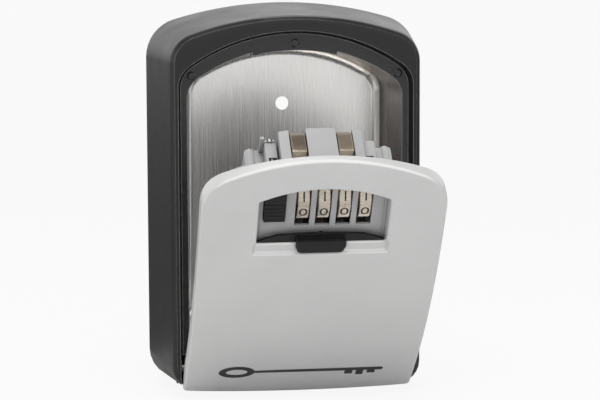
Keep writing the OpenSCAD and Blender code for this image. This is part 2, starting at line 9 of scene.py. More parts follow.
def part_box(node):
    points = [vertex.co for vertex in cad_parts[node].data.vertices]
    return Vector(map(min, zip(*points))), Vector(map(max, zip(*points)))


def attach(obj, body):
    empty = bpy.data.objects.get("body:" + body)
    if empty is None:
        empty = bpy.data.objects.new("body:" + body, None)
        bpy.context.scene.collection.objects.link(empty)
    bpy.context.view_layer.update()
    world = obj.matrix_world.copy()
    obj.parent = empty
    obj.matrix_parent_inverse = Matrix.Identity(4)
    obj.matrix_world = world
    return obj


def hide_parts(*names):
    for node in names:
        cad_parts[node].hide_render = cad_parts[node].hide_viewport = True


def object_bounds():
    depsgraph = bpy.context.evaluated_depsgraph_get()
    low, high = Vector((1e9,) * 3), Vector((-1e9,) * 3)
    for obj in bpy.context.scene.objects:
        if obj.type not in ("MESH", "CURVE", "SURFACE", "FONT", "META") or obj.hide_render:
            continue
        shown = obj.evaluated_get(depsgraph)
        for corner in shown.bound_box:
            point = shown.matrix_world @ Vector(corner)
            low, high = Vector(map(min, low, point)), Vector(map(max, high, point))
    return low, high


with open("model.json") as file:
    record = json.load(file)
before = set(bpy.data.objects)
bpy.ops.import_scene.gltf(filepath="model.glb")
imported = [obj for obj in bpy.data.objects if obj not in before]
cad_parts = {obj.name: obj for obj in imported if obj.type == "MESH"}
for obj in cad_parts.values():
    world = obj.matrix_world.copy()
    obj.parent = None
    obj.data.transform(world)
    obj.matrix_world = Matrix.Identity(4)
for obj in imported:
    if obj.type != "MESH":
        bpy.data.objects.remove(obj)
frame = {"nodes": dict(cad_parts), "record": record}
CAD_BOUNDS = [list(corner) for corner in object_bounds()]
NODES = frame["nodes"]
JOINTS = {j["name"]: j for j in frame["record"]["behaviour"]["joints"]}
SLOT_OF = {s["node"]: s["material_slot"] for s in frame["record"]["subparts"]}
MM = 0.001

# ---- Frame of the closed door: x to the right, f forward from the wall, z up, in millimetres ----
DOOR_OPEN = math.radians(41.24)
HINGE = JOINTS["door_hinge"]["pos_m"]
HINGE_F, HINGE_Z = -HINGE[1] / MM, HINGE[2] / MM


def to_row(x, f, z):
    """A point of the closed door, in millimetres, as it stands in the row frame, in metres."""
    dy, dz = HINGE_F - f, z - HINGE_Z
    c, s = math.cos(DOOR_OPEN), math.sin(DOOR_OPEN)
    dy, dz = dy * c - dz * s, dy * s + dz * c
    return Vector((x, dy - HINGE_F, dz + HINGE_Z)) * MM


def to_closed(point):
    """The other way: a row point, in metres, to (x, f, z) of the closed door, in millimetres."""
    dy, dz = point[1] / MM + HINGE_F, point[2] / MM - HINGE_Z
    c, s = math.cos(DOOR_OPEN), math.sin(DOOR_OPEN)
    dy, dz = dy * c + dz * s, -dy * s + dz * c
    return Vector((point[0] / MM, HINGE_F - dy, dz + HINGE_Z))


ARC = to_closed(JOINTS["shutter_slide"]["pos_m"])
ARC_F, ARC_Z = ARC[1], ARC[2]
DIAL_AXIS = to_closed(JOINTS["dial_1_turn"]["pos_m"])
DIAL_F, DIAL_Z = DIAL_AXIS[1], DIAL_AXIS[2]
DOOR_R = 260.0


def surface_f(z, depth=0.0):
    """Forward distance of the door's surface at height z, at a depth below it."""
    return ARC_F + math.sqrt((DOOR_R - depth) ** 2 - (z - ARC_Z) ** 2)


# ---- Materials ----
def new_material(name):
    mat = bpy.data.materials.new(name)
    mat.use_nodes = True
    mat.node_tree.nodes.clear()
    return mat, mat.node_tree


def add(tree, kind, **values):
    node = tree.nodes.new(kind)
    for key, value in values.items():
        if key in node.inputs:
            node.inputs[key].default_value = value
        else:
            setattr(node, key, value)
    return node


def finish_material(name, base, rough, metallic=0.0, tone=0.08, grain=None, speck=900.0, speck_bump=0.15,
                    rough_var=0.08, wear_and_glint=0.0, wear_and_glint_color=(0.6, 0.6, 0.6), coat=0.0, specular=0.5,
                    grain_tone=0.0, grain_bump=0.35, hollow_shade=0.0, edge_radius=0.0006):
    """Surface with slow tone changes, a fine texture, optional brushed grain, worn edges mixed with
    painted edge highlights, and painted shade in hollows and near other parts.
    grain is the noise scale in x, y and z; None means an even texture."""
    mat, tree = new_material(name)
    link = tree.links.new
    out = add(tree, "ShaderNodeOutputMaterial")
    bsdf = add(tree, "ShaderNodeBsdfPrincipled", Roughness=rough, Metallic=metallic)
    bsdf.inputs["Specular IOR Level"].default_value = specular
    bsdf.inputs["Coat Weight"].default_value = coat
    bsdf.inputs["Coat Roughness"].default_value = 0.12
    link(bsdf.outputs[0], out.inputs[0])
    coord = add(tree, "ShaderNodeTexCoord")

    slow = add(tree, "ShaderNodeTexNoise", Scale=38.0, Detail=4.0, Roughness=0.6)
    link(coord.outputs["Object"], slow.inputs["Vector"])
    ramp = add(tree, "ShaderNodeMapRange")
    ramp.inputs["From Min"].default_value = 0.3
    ramp.inputs["From Max"].default_value = 0.7
    ramp.inputs["To Min"].default_value = 1.0 - tone
    ramp.inputs["To Max"].default_value = 1.0 + tone
    link(slow.outputs["Fac"], ramp.inputs["Value"])
    color = add(tree, "ShaderNodeVectorMath", operation="SCALE")
    color.inputs[0].default_value = base
    link(ramp.outputs[0], color.inputs["Scale"])
    color_out = color.outputs[0]

    fine = add(tree, "ShaderNodeTexNoise", Scale=speck, Detail=3.0, Roughness=0.55)
    link(coord.outputs["Object"], fine.inputs["Vector"])
    bump = add(tree, "ShaderNodeBump", Strength=speck_bump, Distance=0.00008)
    link(fine.outputs["Fac"], bump.inputs["Height"])
    normal_out = bump.outputs[0]

    vary = add(tree, "ShaderNodeMapRange")
    vary.inputs["From Min"].default_value = 0.25
    vary.inputs["From Max"].default_value = 0.75
    vary.inputs["To Min"].default_value = max(rough - rough_var, 0.03)
    vary.inputs["To Max"].default_value = rough + rough_var
    source = slow
    if grain:
        mapping = add(tree, "ShaderNodeMapping")
        mapping.inputs["Scale"].default_value = grain
        link(coord.outputs["Object"], mapping.inputs["Vector"])
        streak = add(tree, "ShaderNodeTexNoise", Scale=1.0, Detail=5.0, Roughness=0.65)
        link(mapping.outputs[0], streak.inputs["Vector"])
        brushed = add(tree, "ShaderNodeBump", Strength=grain_bump, Distance=0.00004)
        link(streak.outputs["Fac"], brushed.inputs["Height"])
        link(normal_out, brushed.inputs["Normal"])
        normal_out = brushed.outputs[0]
        source = streak
        if grain_tone:
            shade = add(tree, "ShaderNodeMapRange")
            shade.inputs["From Min"].default_value = 0.3
            shade.inputs["From Max"].default_value = 0.7
            shade.inputs["To Min"].default_value = 1.0 - grain_tone
            shade.inputs["To Max"].default_value = 1.0 + grain_tone
            link(streak.outputs["Fac"], shade.inputs["Value"])
            streaked = add(tree, "ShaderNodeVectorMath", operation="SCALE")
            link(color_out, streaked.inputs[0])
            link(shade.outputs[0], streaked.inputs["Scale"])
            color_out = streaked.outputs[0]
    link(source.outputs["Fac"], vary.inputs["Value"])
    rough_out = vary.outputs[0]

    # worn edges mixed with painted highlights: edges found by the bevel node get a lighter colour, broken
    # up by fine noise
    if wear_and_glint or hollow_shade:
        edge = add(tree, "ShaderNodeBevel", samples=4)
        edge.inputs["Radius"].default_value = edge_radius
        geometry = add(tree, "ShaderNodeNewGeometry")
        dot = add(tree, "ShaderNodeVectorMath", operation="DOT_PRODUCT")
        link(edge.outputs[0], dot.inputs[0])
        link(geometry.outputs["Normal"], dot.inputs[1])
        mask = add(tree, "ShaderNodeMapRange")
        mask.inputs["From Min"].default_value = 0.985
        mask.inputs["From Max"].default_value = 0.86
        link(dot.outputs["Value"], mask.inputs["Value"])
        broken = add(tree, "ShaderNodeMath", operation="MULTIPLY")
        link(mask.outputs[0], broken.inputs[0])
        link(fine.outputs["Fac"], broken.inputs[1])
        amount = add(tree, "ShaderNodeMath", operation="MULTIPLY")
        amount.inputs[1].default_value = wear_and_glint * 2.0
        amount.use_clamp = True
        link(broken.outputs[0], amount.inputs[0])
        mix = add(tree, "ShaderNodeMix", data_type="RGBA")
        mix.inputs[7].default_value = (*wear_and_glint_color, 1.0)
        link(amount.outputs[0], mix.inputs[0])
        link(color_out, mix.inputs[6])
        color_out = mix.outputs[2]
    # painted shade: ambient occlusion darkens the colour in hollows and near other parts
    if hollow_shade:
        occlusion = add(tree, "ShaderNodeAmbientOcclusion", samples=4)
        occlusion.inputs["Distance"].default_value = 0.003
        hollow_shade_ramp = add(tree, "ShaderNodeMapRange")
        hollow_shade_ramp.inputs["From Min"].default_value = 0.35
        hollow_shade_ramp.inputs["From Max"].default_value = 0.95
        hollow_shade_ramp.inputs["To Min"].default_value = 1.0 - hollow_shade
        hollow_shade_ramp.inputs["To Max"].default_value = 1.0
        link(occlusion.outputs["AO"], hollow_shade_ramp.inputs["Value"])
        hollow_shaded = add(tree, "ShaderNodeVectorMath", operation="SCALE")
        link(color_out, hollow_shaded.inputs[0])
        link(hollow_shade_ramp.outputs[0], hollow_shaded.inputs["Scale"])
        color_out = hollow_shaded.outputs[0]
    link(color_out, bsdf.inputs["Base Color"])
    link(rough_out, bsdf.inputs["Roughness"])
    link(normal_out, bsdf.inputs["Normal"])
    return mat


# the occlusion amount of a material paints shade into its hollows and near other parts
MATERIALS = {
    # the light edge colours mix worn edges with painted edge highlights; on the casing, the frame, the
    # bolts and the dials they are mostly painted highlights
    "casing": finish_material("moulded_plastic", (0.017, 0.0165, 0.0165), 0.4, tone=0.1, speck=1500.0,
                              speck_bump=0.35, wear_and_glint=1.0, wear_and_glint_color=(0.36, 0.36, 0.36), specular=0.3,
                              edge_radius=0.00035),
    "frame": finish_material("powder_coat", (0.013, 0.013, 0.015), 0.3, speck=1100.0, speck_bump=0.55,
                             wear_and_glint=1.0, wear_and_glint_color=(0.55, 0.55, 0.55), edge_radius=0.0004),
    "pan": finish_material("brushed_steel", (0.8, 0.785, 0.77), 0.26, metallic=1.0, tone=0.03,
                           grain=(3200.0, 3200.0, 30.0), grain_tone=0.06, grain_bump=0.1,
                           rough_var=0.06, speck=500.0, speck_bump=0.05),
    "door": finish_material("satin_grey", (0.65, 0.655, 0.655), 0.34, tone=0.025, speck=800.0,
                            speck_bump=0.12, wear_and_glint=0.12, wear_and_glint_color=(0.7, 0.7, 0.69), specular=0.45,
                            coat=0.06),
    "lock_body": finish_material("matt_grey", (0.46, 0.465, 0.47), 0.5, tone=0.05, speck=1000.0,
                                 speck_bump=0.35, wear_and_glint=0.3, wear_and_glint_color=(0.58, 0.58, 0.58), hollow_shade=0.6),
    "faceplate": finish_material("face_grey", (0.42, 0.42, 0.43), 0.42, tone=0.06, speck=1100.0,
                                 speck_bump=0.25, wear_and_glint=0.3, wear_and_glint_color=(0.6, 0.6, 0.6), hollow_shade=0.1),
    "dial": finish_material("nickel", (0.56, 0.5, 0.43), 0.28, metallic=0.8, tone=0.5,
                            speck=650.0, speck_bump=0.7, rough_var=0.1, hollow_shade=0.12,
                            grain=(300.0, 2600.0, 2600.0), grain_tone=0.18,
                            wear_and_glint=0.3, wear_and_glint_color=(0.95, 0.9, 0.82), edge_radius=0.0003),
    "cam": finish_material("brass", (0.62, 0.46, 0.2), 0.3, metallic=1.0, tone=0.1, rough_var=0.1,
                           grain=(2600.0, 300.0, 300.0), grain_tone=0.06, hollow_shade=0.3),
    "steel": finish_material("plain_steel", (0.55, 0.54, 0.53), 0.28, metallic=1.0, tone=0.06,
                             rough_var=0.1, speck=900.0, speck_bump=0.2, hollow_shade=0.4,
                             wear_and_glint=0.3, wear_and_glint_color=(0.8, 0.8, 0.8)),
    "bolt": finish_material("aged_brass", (0.22, 0.185, 0.14), 0.34, metallic=0.6, tone=0.3,
                            rough_var=0.14, speck=1300.0, speck_bump=0.5, hollow_shade=0.4,
                            wear_and_glint=0.9, wear_and_glint_color=(0.75, 0.66, 0.5), edge_radius=0.0007),
    "black": finish_material("black_plastic", (0.009, 0.009, 0.01), 0.36, specular=0.28, tone=0.12,
                             speck=1200.0, speck_bump=0.4, wear_and_glint=0.35, wear_and_glint_color=(0.09, 0.09, 0.095),
                             edge_radius=0.0004),
}


def tint_facing(mat, direction, color, low=0.55, high=0.85):
    """Paints light or shade by facing: the faces that look along a direction get their own colour; low and
    high are cosines.
    """
    tree = mat.node_tree
    bsdf = next(n for n in tree.nodes if n.type == "BSDF_PRINCIPLED")
    before = bsdf.inputs["Base Color"].links[0].from_socket
    geometry = add(tree, "ShaderNodeNewGeometry")
    dot = add(tree, "ShaderNodeVectorMath", operation="DOT_PRODUCT")
    dot.inputs[1].default_value = direction
    tree.links.new(geometry.outputs["Normal"], dot.inputs[0])
    mask = add(tree, "ShaderNodeMapRange")
    mask.inputs["From Min"].default_value = low
    mask.inputs["From Max"].default_value = high
    tree.links.new(dot.outputs["Value"], mask.inputs["Value"])
    mix = add(tree, "ShaderNodeMix", data_type="RGBA")
    mix.inputs[7].default_value = (*color, 1.0)
    tree.links.new(mask.outputs[0], mix.inputs[0])
    tree.links.new(before, mix.inputs[6])
    tree.links.new(mix.outputs[2], bsdf.inputs["Base Color"])


# painted light by facing: a painted highlight on the bolts' front ends, painted highlights on the rim and
# scoop of the door, and painted dark reflections on the right and upper walls of the pan
DOOR_FRONT = (0.0, -math.cos(DOOR_OPEN), -math.sin(DOOR_OPEN))
SCOOP_LEAN = DOOR_OPEN + 0.64
DOOR_UPPER = (0.0, -math.sin(SCOOP_LEAN), math.cos(SCOOP_LEAN))
tint_facing(MATERIALS["bolt"], DOOR_FRONT, (1.0, 0.86, 0.66))
tint_facing(MATERIALS["door"], DOOR_UPPER, (0.84, 0.845, 0.84), 0.86, 0.97)
tint_facing(MATERIALS["pan"], (-1.0, 0.0, 0.0), (0.2, 0.18, 0.165), 0.7, 0.95)
tint_facing(MATERIALS["pan"], (0.0, 0.0, -1.0), (0.34, 0.3, 0.25), 0.4, 0.85)


# ---- CAD nodes that are shown as they are, with their edges broken ----
WELD_GAP = 2e-6         # metres
FLAT_ANGLE = 0.6        # degrees between faces that count as one flat face
SHARP_ANGLE = 28.0      # degrees from which an edge is rounded


def edge_finish(obj, width):
    """Welds the shells, clears their split normals and rounds the sharp edges. width in millimetres."""
    if "custom_normal" in obj.data.attributes:
        obj.data.attributes.remove(obj.data.attributes["custom_normal"])
    obj.data.shade_smooth()
    weld = obj.modifiers.new("weld", "WELD")
    weld.merge_threshold = WELD_GAP
    flat = obj.modifiers.new("flat", "DECIMATE")
    flat.decimate_type = "DISSOLVE"
    flat.angle_limit = math.radians(FLAT_ANGLE)
    bevel = obj.modifiers.new("bevel", "BEVEL")
    bevel.width = width * MM
    bevel.segments = 2
    bevel.limit_method = "ANGLE"
    bevel.angle_limit = math.radians(SHARP_ANGLE)
    bevel.harden_normals = True
    normals = obj.modifiers.new("normals", "WEIGHTED_NORMAL")
    normals.keep_sharp = True
    normals.weight = 70


EDGE = {"outer_casing": 0.25, "front_frame": 0.2, "steel_pan": 0.2, "door_panel": 0.5,
        "door_liner": 0.25, "faceplate": 0.15, "lock_case": 0.3, "case_cover": 0.25,
        "shutter": 0.3, "latch_bolts": 0.25}
SMALL_EDGE = 0.12
for name, obj in NODES.items():
    obj.data.materials.clear()
    obj.data.materials.append(MATERIALS[SLOT_OF[name]])
    edge_finish(obj, EDGE.get(name, SMALL_EDGE))


# ---- Mesh helpers; outlines are (x, z) lists of the closed door ----
def arch(hw, top, arc, corner, bottom, foot, bow=0.0):
    """Closed outline with an arched top, round top corners and a flat or bowed bottom."""
    fine = 10
    centre = top - arc
    corner_z = centre + math.sqrt((arc - corner) ** 2 - (hw - corner) ** 2)
    meet = math.atan2(corner_z - centre, hw - corner)
    side = []
    for k in range(fine):
        x = (hw - foot) * k / fine
        side.append((x, bottom - bow * (1 - (x / hw) ** 2)))
    for k in range(fine + 1):
        a = -math.pi / 2 + math.pi / 2 * k / fine
        side.append((hw - foot + foot * math.cos(a), bottom + foot + foot * math.sin(a)))
    for k in range(1, 8):
        side.append((hw, bottom + foot + (corner_z - bottom - foot) * k / 8))
    for k in range(fine + 1):
        a = meet * k / fine
        side.append((hw - corner + corner * math.cos(a), corner_z + corner * math.sin(a)))
    for k in range(1, 2 * fine):
        a = meet + (math.pi / 2 - meet) * k / (2 * fine)
        side.append((arc * math.cos(a), centre + arc * math.sin(a)))
    side.append((0.0, top))
    return side + [(-x, z) for x, z in side[-2:0:-1]]


def new_object(name, bm, body, slot, smooth, material=None):
    """Makes the mesh a piece that moves with a body; smooth is the largest smoothed angle, in degrees."""
    bmesh.ops.remove_doubles(bm, verts=bm.verts, dist=1e-7)
    bmesh.ops.recalc_face_normals(bm, faces=bm.faces)
    mesh = bpy.data.meshes.new(name)
    bm.to_mesh(mesh)
    bm.free()
    mesh.shade_smooth()
    mesh.set_sharp_from_angle(angle=math.radians(smooth))
    obj = bpy.data.objects.new(name, mesh)
    bpy.context.scene.collection.objects.link(obj)
    mesh.materials.append(material or MATERIALS[slot])
    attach(obj, body)
    return obj


def ring_strip(bm, a, b):
    """Quads between two closed rings of vertices."""
    n = len(a)
    for k in range(n):
        quad = (a[k], a[(k + 1) % n], b[(k + 1) % n], b[k])
        if len(set(quad)) == 4:
            bm.faces.new(quad)


def fill_rings(bm, rings):
    """Flat face between closed rings of vertices; the inner rings are holes."""
    edges = []
    for ring in rings:
        n = len(ring)
        for k in range(n):
            ends = (ring[k], ring[(k + 1) % n])
            edges.append(bm.edges.get(ends) or bm.edges.new(ends))
    bmesh.ops.triangle_fill(bm, use_beauty=True, use_dissolve=False, edges=edges)


def slice_mesh(bm, xs=(), zs=()):
    """Cuts the flat mesh, still in (x, depth, z), at these planes so that it can bend."""
    for axis, places in ((0, xs), (2, zs)):
        for place in places:
            co, no = [0, 0, 0], [0, 0, 0]
            co[axis], no[axis] = place, 1
            everything = bm.verts[:] + bm.edges[:] + bm.faces[:]
            bmesh.ops.bisect_plane(bm, geom=everything, plane_co=co, plane_no=no, dist=1e-5)


def bend(bm, sink=None):
    """Moves (x, depth, z) vertices to the curved door, open, in metres. sink adds depth near the front."""
    for v in bm.verts:
        x, depth, z = v.co
        if sink:
            depth += sink(x, z, depth)
        v.co = to_row(x, surface_f(z, depth), z)


def ramp(value, low, high):
    """0 below low, 1 above high and an even bend between."""
    t = min(max((value - low) / (high - low), 0.0), 1.0)
    return t * t * (3 - 2 * t)


# ---- Door skin ----
DOOR = dict(hw=43.1, top=61.1, arc=88.0, corner=14.0, bottom=-65.4, foot=1.5, bow=2.6)
WINDOW = dict(hw=23.0, top=49.2, arc=55.0, corner=0.7, bottom=24.0, foot=0.7)
SKIN, RIM, RIM_WALL = 2.2, 5.2, 1.8     # sheet thickness, rim depth, rim thickness
RIM_BACK = 40.05                        # how far back the rim may reach
EDGE_R, WINDOW_R = 1.0, 0.8             # rounding of the outer edge and of the window
SCOOP_LOW, SCOOP_DEPTH, SCOOP_HW = 20.2, 1.95, 23.6
POCKET_DEPTH, POCKET_HW = 1.15, 9.6     # finger pocket behind the shutter's tab
WALL_IN, WALL_OUT, WALL_DEPTH, WALL_LOW, WALL_TOP = 23.05, 24.4, 6.3, -1.0, 49.6


def door_ring(inset):
    return arch(DOOR["hw"] - inset, DOOR["top"] - inset, DOOR["arc"] - inset, DOOR["corner"] - inset / 2,
                DOOR["bottom"] + inset, max(DOOR["foot"] - inset / 2, 0.6), DOOR["bow"])


def window_ring(grow):
    return arch(WINDOW["hw"] + grow, WINDOW["top"] + grow, WINDOW["arc"] + grow, WINDOW["corner"] + grow,
                WINDOW["bottom"] - grow, WINDOW["foot"] + grow)


def rim_depth(z):
    """Depth of the rim at height z; it stops at the plane RIM_BACK."""
    room = DOOR_R - math.hypot(RIM_BACK - ARC_F, z - ARC_Z)
    return max(min(RIM, room), SKIN + 0.05)


def scoop(x, z, depth):
    """Extra depth of the thumb scoop below the window."""
    if depth > SKIN * 0.6:
        return 0.0
    inside = ramp(SCOOP_HW + 0.9 - abs(x), 0.0, 1.6)
    floor_part = min(max((z - SCOOP_LOW) / (WINDOW["bottom"] - SCOOP_LOW), 0.0), 1.0)
    slope = SCOOP_DEPTH * (0.7 * ramp(z, SCOOP_LOW, SCOOP_LOW + 0.7) + 0.3 * floor_part)
    below = 1.0 - ramp(z, WINDOW["bottom"] + 0.2, WINDOW["bottom"] + 1.4)
    pocket = POCKET_DEPTH * ramp(POCKET_HW - abs(x), 0.0, 0.5) * ramp(z, 20.1, 20.6) * below
    return max(slope * inside * below, pocket)


def ring_verts(bm, points, depth):
    """Vertices in (x, depth, z); depth is a number or a function of z."""
    if not callable(depth):
        value = depth
        depth = lambda z: value
    return [bm.verts.new((x, depth(z), z)) for x, z in points]


def box_strip(bm, x0, x1, d0, d1, z0, z1, steps):
    """Straight bar between two depths that will bend with the door."""
    rows = []
    for k in range(steps + 1):
        z = z0 + (z1 - z0) * k / steps
        rows.append([bm.verts.new((x, d, z)) for x, d in ((x0, d0), (x1, d0), (x1, d1), (x0, d1))])
    for k in range(steps):
        ring_strip(bm, rows[k], rows[k + 1])
    bm.faces.new(rows[0])
    bm.faces.new(rows[-1])


door_bm = bm = bmesh.new()
quarter = [math.radians(15 * k) for k in range(7)]
outer = [ring_verts(bm, door_ring(EDGE_R * (1 - math.sin(a))), EDGE_R * (1 - math.cos(a)))
         for a in quarter]
inner = [ring_verts(bm, window_ring(WINDOW_R * (1 - math.sin(a))), WINDOW_R * (1 - math.cos(a)))
         for a in quarter]
for rings in (outer, inner):
    for k in range(len(rings) - 1):
        ring_strip(bm, rings[k], rings[k + 1])
rim_outer = ring_verts(bm, door_ring(0), rim_depth)
rim_inner = ring_verts(bm, door_ring(RIM_WALL), rim_depth)
rim_top = ring_verts(bm, door_ring(RIM_WALL), SKIN)
window_back = ring_verts(bm, window_ring(0), SKIN)
ring_strip(bm, outer[-1], rim_outer)
ring_strip(bm, rim_outer, rim_inner)
ring_strip(bm, rim_inner, rim_top)
ring_strip(bm, inner[-1], window_back)
fill_rings(bm, [outer[0], inner[0]])
fill_rings(bm, [rim_top, window_back])
# even cuts for the bend of the door, close ones where the scoop and the pocket turn
scoop_xs = [s * x for s in (-1, 1)
            for x in (9.1, 9.3, 9.5, 21.5, 22.3, 22.8, 23.3, 23.8, 24.3, 24.8)]
scoop_zs = [19.5, 20.1, 20.2, 20.3, 20.4, 20.5, 20.6, 20.7, 20.8, 20.9, 21.2, 22.1, 23.1]
slice_mesh(bm, xs=scoop_xs, zs=[-64 + 3 * k for k in range(43)] + scoop_zs)
bend(bm, scoop)
wall = bmesh.new()
for s in (-1, 1):
    box_strip(wall, s * WALL_IN, s * WALL_OUT, SKIN - 0.1, WALL_DEPTH, WALL_LOW, WALL_TOP, 16)
bend(wall)
wall_mesh = bpy.data.meshes.new("tmp")
wall.to_mesh(wall_mesh)
wall.free()
door_bm.from_mesh(wall_mesh)


def prism(bm, outline, holes, x0, x1):
    """Solid between x0 and x1 from an outline and holes in (f, z)."""
    caps = []
    for x in (x0, x1):
        rings = [[bm.verts.new(to_row(x, f, z)) for f, z in loop] for loop in [outline] + holes]
        fill_rings(bm, rings)
        caps.append(rings)
    for a, b in zip(*caps):
        ring_strip(bm, a, b)


def circle(f, z, r, start=0.0, end=360.0, steps=40, closed=True):
    """Points of a circle or, not closed, of an arc from start to end, in degrees."""
    count = steps if closed else steps + 1
    return [(f + r * math.cos(math.radians(start + (end - start) * k / steps)),
             z + r * math.sin(math.radians(start + (end - start) * k / steps))) for k in range(count)]


LUG_R, LUG_LOW, PIN_HOLE = 3.6, -2.4, 1.56
LUG_IN, LUG_OUT, LUG_ROOT = 36.0, 42.0, 1.2     # across, and how deep in the skin it starts
low_z, high_z = HINGE_Z + LUG_LOW, HINGE_Z + LUG_R
lug_end = 360 + math.degrees(math.asin(LUG_LOW / LUG_R))
for s in (-1, 1):
    outline = circle(HINGE_F, HINGE_Z, LUG_R, 90, lug_end, 28, closed=False)
    outline += [(surface_f(low_z, LUG_ROOT), low_z), (surface_f(high_z, LUG_ROOT), high_z)]
    prism(door_bm, outline, [circle(HINGE_F, HINGE_Z, PIN_HOLE)], s * LUG_IN, s * LUG_OUT)
door = new_object("door_skin", door_bm, "door", "door", smooth=40)
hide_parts("door_panel")

# ---- Key pictogram printed on the door ----
PRINT = finish_material("print_black", (0.018, 0.018, 0.02), 0.55, tone=0.15, speck=900.0,
                        speck_bump=0.2)
KEY_X, KEY_Z, KEY_LEN, SHAFT = -31.0, -50.3, 62.0, 1.15
BOW_W, BOW_H = 5.4 * 1.25, 5.4 * 0.8            # half width and half height of the key's bow
BOW_X, TIP_X = KEY_X + BOW_W, KEY_X + KEY_LEN
BITS = ((14.5, 11.5, 2.6), (10.2, 7.4, 3.4), (6.0, 3.0, 2.3))   # start and end from the tip, drop
PRINT_TOP, PRINT_BASE = -0.04, 0.1              # depths below the door's surface


def key_outline():
    pts = []
    for k in range(49):
        a = math.radians(12 + (348 - 12) * k / 48)
        pts.append((BOW_X + BOW_W * math.cos(a), KEY_Z + BOW_H * math.sin(a)))
    low = KEY_Z - SHAFT
    for start, end, drop in BITS:
        pts += [(TIP_X - start, low), (TIP_X - start, low - drop), (TIP_X - end, low - drop),
                (TIP_X - end, low)]
    return pts + [(TIP_X - 0.8, low), (TIP_X, KEY_Z), (TIP_X - 0.8, KEY_Z + SHAFT)]


bm = bmesh.new()
bow_hole = [(BOW_X + 4.0 * math.cos(math.radians(9 * k)), KEY_Z + 2.0 * math.sin(math.radians(9 * k)))
            for k in range(40)]
top_rings = [ring_verts(bm, ring, PRINT_TOP) for ring in (key_outline(), bow_hole)]
base_rings = [ring_verts(bm, ring, PRINT_BASE) for ring in (key_outline(), bow_hole)]
fill_rings(bm, top_rings)
fill_rings(bm, base_rings)
for a, b in zip(top_rings, base_rings):
    ring_strip(bm, a, b)
slice_mesh(bm, zs=[KEY_Z + k for k in range(-5, 6)])
bend(bm)
new_object("key_sign", bm, "door", "black", smooth=32, material=PRINT)

# ---- Dials ----
DIAL_R, DIAL_W, DIAL_BORE, FLATS = 10.9, 4.1, 5.6, 10
GROOVE, CHAMFER, BORE_CHAMFER = 0.5, 0.22, 0.2  # round groove on each corner, broken edges
DIGIT_WIDE, DIGIT_TALL, DIGIT_LOW = 3.0, 3.6, 0.6
DIGIT_TOP, DIGIT_BASE = 0.03, -0.1              # heights above the flat
DIGITS = finish_material("digit_paint", (0.02, 0.018, 0.016), 0.5, tone=0.2, speck=1500.0,
                         speck_bump=0.4)


def dial_profile(shrink):
    """Ten-sided outline in (f, z) with a round groove on every corner."""
    pts = []
    r = DIAL_R - shrink
    step = 2 * math.pi / FLATS
    for k in range(FLATS):
        a = step * (k + 0.5)
        corner = Vector((r * math.cos(a), r * math.sin(a)))
        before = Vector((r * math.cos(a - step), r * math.sin(a - step))) - corner
        after = Vector((r * math.cos(a + step), r * math.sin(a + step))) - corner
        before.normalize()
        after.normalize()
        start = math.atan2(before.y, before.x)
        sweep = (math.atan2(after.y, after.x) - start) % (2 * math.pi)
        if sweep > math.pi:
            sweep -= 2 * math.pi
        for j in range(7):
            b = start + sweep * j / 6
            pts.append((DIAL_F + corner.x + GROOVE * math.cos(b),
                        DIAL_Z + corner.y + GROOVE * math.sin(b)))
    return pts


def digit_shape(digit):
    """Flat mesh of one digit, from the built-in typeface."""
    curve = bpy.data.curves.new("digit", "FONT")
    curve.body = str(digit)
    curve.align_x, curve.align_y = "CENTER", "CENTER"
    curve.size = 1.0
    curve.extrude = 0.05
    text = bpy.data.objects.new("digit", curve)
    bpy.context.scene.collection.objects.link(text)
    shape = bpy.data.meshes.new_from_object(text.evaluated_get(bpy.context.evaluated_depsgraph_get()))
    bpy.data.objects.remove(text)
    return shape


for number in range(1, 5):
    low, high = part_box(f"dial_{number}")
    middle = (low.x + high.x) / 2 / MM
    bm = bmesh.new()
    rings = []
    for x, shrink, bore in ((-DIAL_W / 2, CHAMFER, BORE_CHAMFER), (-DIAL_W / 2 + CHAMFER, 0, 0),
                            (DIAL_W / 2 - CHAMFER, 0, 0), (DIAL_W / 2, CHAMFER, BORE_CHAMFER)):
        rings.append([bm.verts.new(to_row(middle + x, f, z)) for f, z in dial_profile(shrink)])
        rings.append([bm.verts.new(to_row(middle + x, f, z))
                      for f, z in circle(DIAL_F, DIAL_Z, DIAL_BORE + bore, steps=60)])
    for k in range(3):
        ring_strip(bm, rings[2 * k], rings[2 * k + 2])
        ring_strip(bm, rings[2 * k + 1], rings[2 * k + 3])
    fill_rings(bm, rings[0:2])
    fill_rings(bm, rings[6:8])
    dial = new_object(f"number_wheel_{number}", bm, f"dial_{number}_set", "dial", smooth=20)
    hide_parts(f"dial_{number}")
    marks = bmesh.new()
    for digit in range(FLATS):
        shape = digit_shape(digit)
        xs = [v.co.x for v in shape.vertices]
        ys = [v.co.y for v in shape.vertices]
        scale_y = DIGIT_TALL / (max(ys) - min(ys))
        scale_x = DIGIT_WIDE / (max(xs) - min(xs)) if digit != 1 else scale_y * 1.1
        mid_x, mid_y = (max(xs) + min(xs)) / 2, (max(ys) + min(ys)) / 2
        a = 2 * math.pi / FLATS * digit
        face = DIAL_R * math.cos(math.pi / FLATS)
        for v in shape.vertices:
            across, along = (v.co.x - mid_x) * scale_x, (v.co.y - mid_y) * scale_y - DIGIT_LOW
            out = face + (DIGIT_TOP if v.co.z > 0 else DIGIT_BASE)
            v.co = to_row(middle + across, DIAL_F + out * math.cos(a) - along * math.sin(a),
                          DIAL_Z + out * math.sin(a) + along * math.cos(a))
        marks.from_mesh(shape)
        bpy.data.meshes.remove(shape)
    new_object(f"digits_{number}", marks, f"dial_{number}_set", "black", smooth=30, material=DIGITS)

